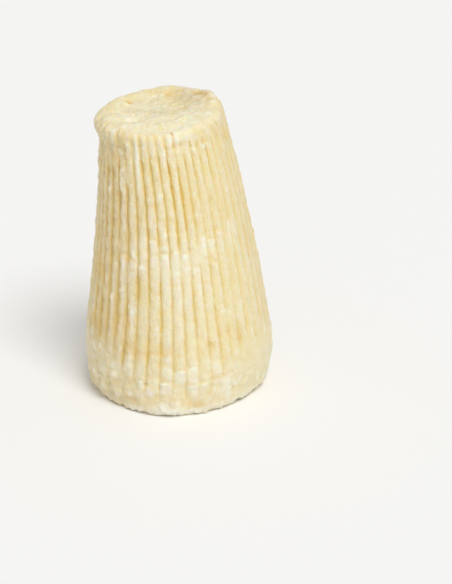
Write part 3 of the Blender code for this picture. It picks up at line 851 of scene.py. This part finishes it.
# The front of the rim gets a painted highlight.
rim_band = hump(ring_radius - RIM_FRONT_RADIUS, RIM_FRONT_REACH)
rim_front_highlight = swell(angles, RIM_FRONT_HIGHLIGHT) * rim_band * on_top
low_left = swell(angles, LOW_LEFT) * (1 - smooth_step(*LOW_LEFT_BAND, ring_height))
foot_pale = 1 - smooth_step(*FOOT_PALE_BAND, ring_height)
above_foot = AGED_AND_SHADE_AT_FOOT + (1 - AGED_AND_SHADE_AT_FOOT) * smooth_step(*AGED_AND_SHADE_FOOT_BAND, ring_height)
on_wall = smooth_step(CREST_RADIUS, LIP_RADIUS, ring_radius) * above_foot
# The left flank and the lower left are painted darker beige: partly aged, partly painted shade of the
# side turned from the light.
aged_and_shade = swell(angles, AGED_AND_SHADED_SIDES) * on_wall
aged_and_shade = aged_and_shade + LOW_LEFT_AGED_AND_SHADE * low_left * (1 - smooth_step(*LOW_LEFT_AGED_AND_SHADE_BAND, ring_height))
aged_band = hump(ring_radius - AGED_TOP_RADIUS, AGED_TOP_REACH)
aged_and_shade = aged_and_shade + swell(angles, AGED_TOP) * aged_band * on_top
dish_share = 1 - smooth_step(*GREY_DISH, ring_radius + GREY_DISH_RAGGEDNESS * ragged_edges)
yellow = swell(angles, YELLOW_SIDE) * smooth_step(*YELLOW_SIDE_RADII, ring_radius)

# The looks read these shares from the mesh. What stands out is painted lighter than its
# surroundings and what sinks in darker: painted highlight and shade of the relief.
RELIEF_LIGHT_AND_SHADE_FULL = 0.0011
RELIEF_LIGHT_BY_RIB_HIGHLIGHT = 0.28
RIB_HIGHLIGHT_USUAL = 0.4
LEDGE_HIGHLIGHT_FULL = 0.0009
WHEY_AND_SHADE_MOST = 1.5

relief_light_and_shade = (skin + pits + ledge_height) / RELIEF_LIGHT_AND_SHADE_FULL + RELIEF_LIGHT_BY_RIB_HIGHLIGHT * (rib_highlight_share - RIB_HIGHLIGHT_USUAL)
mesh_shares = {
    "whey_and_shade": whey_and_shade_share,
    "crack": crack_shade_share,
    "pit_shade": pit_shade_share,
    "stain": stain,
    "bloom": bloom,
    "rim_highlight": rim_front_highlight,
    "aged_and_shade": aged_and_shade,
    "dish": dish_share * (1 - yellow),
    # The foot is paler, less so low on the left, as part of the left side's darker beige, partly aged
    # and partly painted shade.
    "belly": foot_pale * (1 - LOW_LEFT_LESS_PALE * low_left),
    # The proud lip of each ledge faces up to the light and gets a painted highlight.
    "ledge_highlight": (ledge_height / LEDGE_HIGHLIGHT_FULL) ** 2,
    "relief_light_and_shade": 0.5 + relief_light_and_shade,
}
for name, values in mesh_shares.items():
    most = WHEY_AND_SHADE_MOST if name == "whey_and_shade" else 1
    layer = curd_mesh.attributes.new(name, "FLOAT", "POINT")
    layer.data.foreach_set("value", np.clip(values, 0, most).astype(np.float32))

# The bake's map: the side and rim unrolled as one strip, the dish and the underside
# as discs above it.
STRIP_TOP = 0.78
DISC_HALF = 0.1
DISH_DISC = (0.15, 0.89)
UNDER_DISC = (0.45, 0.89)
steps = np.hypot(np.diff([ring[0] for ring in rings]), np.diff([ring[1] for ring in rings]))
travel = np.concatenate([[0.0], np.cumsum(steps)])
travel = (travel - travel[DISH_RINGS]) / (travel[-1] - travel[DISH_RINGS])
ring_of = np.array([0, *np.repeat(np.arange(len(rings)), counts)])
bake_map = curd_mesh.uv_layers.new(name="OFBake")
spots = np.zeros((len(curd_mesh.loops), 2), np.float32)
for face in curd_mesh.polygons:
    corners = np.array(face.vertices)
    underside = len(corners) > 4
    if underside or ring_of[corners].min() < DISH_RINGS:
        disc = UNDER_DISC if underside else DISH_DISC
        reach = ring_radius[corners] / (FOOT_RADIUS if underside else DISH_RADIUS) * DISC_HALF
        turn = even[corners] * RIB_PITCH
        where = np.stack([disc[0] + reach * np.sin(turn), disc[1] - reach * np.cos(turn)], axis=-1)
    else:
        round_share = even[corners] / RIB_COUNT
        past_seam = round_share < round_share.max() - 0.5
        where = np.stack([round_share + past_seam, STRIP_TOP * (1 - travel[ring_of[corners]])], axis=-1)
    spots[face.loop_start : face.loop_start + face.loop_total] = where
bake_map.data.foreach_set("uv", spots.ravel())

curd_body = bpy.data.objects.new("curd_body", curd_mesh)
bpy.context.scene.collection.objects.link(curd_body)


class Shade:
    """One output of a material's nodes. Sums on it add Math nodes beside it."""

    def __init__(self, output):
        self.output = output

    @classmethod
    def node(cls, tree, kind, settings=None, inputs=None, output=0):
        """Adds a node: its settings are set first, then its sockets' values or links."""
        made = tree.nodes.new(kind)
        for name, value in (settings or {}).items():
            setattr(made, name, value)
        for name, value in (inputs or {}).items():
            if isinstance(value, cls):
                tree.links.new(value.output, made.inputs[name])
            else:
                made.inputs[name].default_value = value
        return cls(made.outputs[output])

    def sum(self, operation, first, second):
        tree = self.output.id_data
        return Shade.node(tree, "ShaderNodeMath", {"operation": operation}, {0: first, 1: second})

    def __add__(self, other):
        return self.sum("ADD", self, other)

    def __radd__(self, other):
        return self.sum("ADD", other, self)

    def __sub__(self, other):
        return self.sum("SUBTRACT", self, other)

    def __rsub__(self, other):
        return self.sum("SUBTRACT", other, self)

    def __mul__(self, other):
        return self.sum("MULTIPLY", self, other)

    def __rmul__(self, other):
        return self.sum("MULTIPLY", other, self)

    def __pow__(self, other):
        return self.sum("POWER", self, other)

    def kept(self):
        """The same value held between 0 and 1."""
        tree = self.output.id_data
        return Shade.node(tree, "ShaderNodeClamp", None, {"Value": self})

    def over(self, under, colour):
        """Lays a colour over another where this value is 1. Beyond 0 and 1 it is held."""
        tree = self.output.id_data
        settings = {"data_type": "RGBA", "clamp_factor": True}
        return Shade.node(tree, "ShaderNodeMix", settings, {0: self, 6: under, 7: colour}, output=2)


# This white is both paler curd and the colour of painted highlights.
WHITE_CURD_AND_HIGHLIGHT = (0.99, 0.95, 0.81, 1)
RIM_HIGHLIGHT_CREAM = (0.985, 0.89, 0.63, 1)
CREAM = (0.904, 0.81, 0.527, 1)
PALE_CREAM = (0.934, 0.881, 0.706, 1)
DEEP_CREAM = (0.884, 0.749, 0.39, 1)
BELLY_CREAM = (0.904, 0.83, 0.622, 1)
DISH_CREAM = (0.865, 0.8, 0.59, 1)
DISH_STREAK_SHADE = (0.765, 0.692, 0.482, 1)
AGED_AND_SHADE_BEIGE = (0.764, 0.615, 0.358, 1)
AGED_AND_SHADE_GROOVE = (0.7, 0.51, 0.22, 1)
GROOVE_WHEY_AND_SHADE = (0.84, 0.61, 0.18, 1)
WHEY_AND_SHADE_YELLOW = (0.824, 0.584, 0.211, 1)
PIT_SHADE_ORANGE = (0.68, 0.44, 0.13, 1)

# Sizes of the mottling in the curd, in metres, and how it is drawn out upwards on the
# side and across the dish.
SLOW_MOTTLE = 0.012
STREAK_MOTTLE = 0.0085
PATCH_MOTTLE = 0.0034
CURD_GRAIN = 0.0026
FLECK_MOTTLE = 0.0013
GRIT_MOTTLE = 0.0007
MOTTLE_ROUGHNESS = 0.55
DRAWN_UP = (1, 1, 0.35)
DRAWN_ACROSS = (0.4, 1, 1)
ACROSS_TURN = (0, 0, -0.45)
BUMP_HEIGHT = 0.0007
BUMP_STRENGTH = 0.9
LIGHT_SINKS_IN = 0.35
LIGHT_REACH = 0.0012
LIGHT_REACH_BY_COLOUR = (1.0, 0.55, 0.2)
CURD_IOR = 1.4
CURD_GLOSS = 0.45


def curd_finish(name):
    """Moist ricotta, freshly made: cream ribs with painted highlight and shade on their relief,
    whey-yellow grooves that also carry painted shade, a greyer dish, soft light in it.
    """
    material = bpy.data.materials.new(name)
    material.use_nodes = True
    tree = material.node_tree
    shader = tree.nodes["Principled BSDF"]

    def mottle(size, detail, spots):
        inputs = {"Vector": spots, "Scale": 1 / size, "Detail": detail, "Roughness": MOTTLE_ROUGHNESS}
        return Shade.node(tree, "ShaderNodeTexNoise", None, inputs)

    def share(of):
        return Shade.node(tree, "ShaderNodeAttribute", {"attribute_name": of}, None, output=2)

    where = Shade.node(tree, "ShaderNodeTexCoord", None, None, output=3)
    drawn = Shade.node(tree, "ShaderNodeMapping", None, {"Vector": where, "Scale": DRAWN_UP})
    turned = {"Vector": where, "Rotation": ACROSS_TURN, "Scale": DRAWN_ACROSS}
    wiped = Shade.node(tree, "ShaderNodeMapping", None, turned)
    slow = mottle(SLOW_MOTTLE, 2, drawn)
    streak = mottle(STREAK_MOTTLE, 4, wiped)
    patch = mottle(PATCH_MOTTLE, 3, drawn)
    fleck = mottle(FLECK_MOTTLE, 2, where)
    cells = {"Vector": drawn, "Scale": 1 / CURD_GRAIN, "Randomness": 1.0}
    seam = Shade.node(tree, "ShaderNodeTexVoronoi", {"feature": "DISTANCE_TO_EDGE"}, cells)
    seam = (1 - seam * 5.0).kept() * (2.2 * patch - 0.7).kept()
    whey_and_shade = share("whey_and_shade")
    aged_and_shade = share("aged_and_shade")
    dish = share("dish")
    rim_highlight = share("rim_highlight")
    relief_light_and_shade = share("relief_light_and_shade") - 0.5
    speckle = (fleck - 0.5) * (1 - 0.75 * dish)
    # The pale and deep coats follow the relief: painted highlight where it stands out, painted shade
    # where it sinks in.
    pale = (0.16 + (2.2 + 1.4 * dish) * (patch - 0.5) + 3.0 * speckle + 1.3 * relief_light_and_shade).kept()
    deep = (0.20 + 1.9 * (slow - 0.5) - 3.2 * speckle - 1.1 * relief_light_and_shade).kept()
    stained = (share("stain") * (0.3 + 1.1 * patch)).kept()

    # Each coat lies over those before it, as thick as its first value says.
    coats = (
        (0.9 * pale, PALE_CREAM),
        (0.7 * deep, DEEP_CREAM),
        (0.35 * seam, WHEY_AND_SHADE_YELLOW),
        (0.4 * share("belly"), BELLY_CREAM),
        (dish * (0.6 + 1.2 * (slow - 0.5) + 4.2 * (streak - 0.5)), DISH_CREAM),
        # Darker streaks along the wiping, painted shade of the dish's smeared hollows.
        (dish * (0.50 - streak) * 5.5, DISH_STREAK_SHADE),
        # Aged beige, which on the left flank is also painted shade.
        (aged_and_shade * (0.35 + 0.7 * patch), AGED_AND_SHADE_BEIGE),
        (share("bloom") * (0.8 + 0.5 * patch), WHITE_CURD_AND_HIGHLIGHT),
        # Painted highlight on the ledges' proud lips.
        (0.45 * share("ledge_highlight"), WHITE_CURD_AND_HIGHLIGHT),
        # Painted highlight on the front of the rim, which faces the light.
        (rim_highlight * (0.6 + 0.6 * patch), RIM_HIGHLIGHT_CREAM),
        (rim_highlight * (patch - 0.54) * 6.5, WHITE_CURD_AND_HIGHLIGHT),
        (rim_highlight * (0.45 - patch) * 6.0, DEEP_CREAM),
        # Whey yellow in the grooves, which also paints their shade.
        ((whey_and_shade * (0.40 + 0.8 * slow)) ** 0.8, GROOVE_WHEY_AND_SHADE),
        (0.9 * aged_and_shade * whey_and_shade, AGED_AND_SHADE_GROOVE),
        (0.85 * stained, WHEY_AND_SHADE_YELLOW),
        # Painted shade in the fine cracks over the ledges.
        (0.35 * share("crack"), WHEY_AND_SHADE_YELLOW),
        # Painted shade in the pits, darker orange the deeper they are.
        (share("pit_shade") ** 1.5, PIT_SHADE_ORANGE),
    )
    colour = CREAM
    for thickness, coat in coats:
        colour = thickness.over(colour, coat)
    tree.links.new(colour.output, shader.inputs["Base Color"])

    rough = 0.40 + 0.30 * (fleck - 0.5) + 0.25 * (patch - 0.5) + 0.12 * dish
    tree.links.new(rough.output, shader.inputs["Roughness"])
    grain = 0.7 * fleck + 0.4 * patch + 0.4 * mottle(GRIT_MOTTLE, 2, where) - 0.5 * seam
    grain = grain * (1 - 0.35 * dish - 0.3 * rim_highlight)
    bumps = {"Strength": BUMP_STRENGTH, "Distance": BUMP_HEIGHT, "Height": grain}
    bump = Shade.node(tree, "ShaderNodeBump", None, bumps)
    tree.links.new(bump.output, shader.inputs["Normal"])

    shader.inputs["Subsurface Weight"].default_value = LIGHT_SINKS_IN
    shader.inputs["Subsurface Radius"].default_value = LIGHT_REACH_BY_COLOUR
    shader.inputs["Subsurface Scale"].default_value = LIGHT_REACH
    shader.inputs["IOR"].default_value = CURD_IOR
    shader.inputs["Specular IOR Level"].default_value = CURD_GLOSS
    return material


curd_mesh.materials.append(curd_finish("moist_curd"))
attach(curd_body, "root")
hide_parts("ricotta")


# ---- The stand ------------------------------------------------------------------
# A plain sheet of near-white board under the cheese, wide enough to fill the view.
STAND_HALF = 6.0
STAND_WHITE = (0.95, 0.95, 0.945, 1)
STAND_ROUGHNESS = 0.9

bpy.ops.mesh.primitive_plane_add(size=2 * STAND_HALF, location=(0, 0, 0))
stand = bpy.context.object
stand.name = "stand"
stand_paint = bpy.data.materials.new("stand_paint")
stand_paint.use_nodes = True
stand_shader = stand_paint.node_tree.nodes["Principled BSDF"]
stand_shader.inputs["Base Color"].default_value = STAND_WHITE
stand_shader.inputs["Roughness"].default_value = STAND_ROUGHNESS
stand.data.materials.append(stand_paint)


# ---- The light ------------------------------------------------------------------
# A bright even room, with a big soft light from high at the right of the front.
LIGHT_TURN = 0.52
LIGHT_RISE = 1.02
LIGHT_SPREAD = 0.5
LIGHT_STRENGTH = 1.57
ROOM_WHITE = (1.0, 0.995, 0.98, 1)
ROOM_STRENGTH = 0.54

room = bpy.data.worlds.new("room")
room.use_nodes = True
room_walls = room.node_tree.nodes["Background"]
room_walls.inputs["Color"].default_value = ROOM_WHITE
room_walls.inputs["Strength"].default_value = ROOM_STRENGTH
bpy.context.scene.world = room
bpy.context.scene.view_settings.view_transform = "Standard"

window_light = bpy.data.lights.new("window", "SUN")
window_light.energy = LIGHT_STRENGTH
window_light.angle = LIGHT_SPREAD
window = bpy.data.objects.new("window", window_light)
towards_light = Vector((
    math.cos(LIGHT_RISE) * math.sin(LIGHT_TURN),
    -math.cos(LIGHT_RISE) * math.cos(LIGHT_TURN),
    math.sin(LIGHT_RISE),
))
window.rotation_euler = towards_light.to_track_quat("Z", "Y").to_euler()
bpy.context.scene.collection.objects.link(window)


# ---- The camera -----------------------------------------------------------------
# It stands a pace back, a little above the cheese, and looks down on it.
CAMERA_PLACE = (0.036, -1.2721, 0.63153)
CAMERA_DOWN = math.radians(23.875)
CAMERA_ROLL = math.radians(0.106)
CAMERA_LENS = 117.8
CAMERA_SENSOR = 36
CAMERA_NEAR = 0.01

camera_data = bpy.data.cameras.new("camera")
camera_data.sensor_width = CAMERA_SENSOR
camera_data.lens = CAMERA_LENS
camera_data.clip_start = CAMERA_NEAR
camera = bpy.data.objects.new("camera", camera_data)
tipped = Matrix.Rotation(math.pi / 2 - CAMERA_DOWN, 4, "X")
rolled = Matrix.Rotation(CAMERA_ROLL, 4, "Z")
camera.matrix_world = Matrix.Translation(CAMERA_PLACE) @ tipped @ rolled
bpy.context.scene.collection.objects.link(camera)
bpy.context.scene.camera = camera
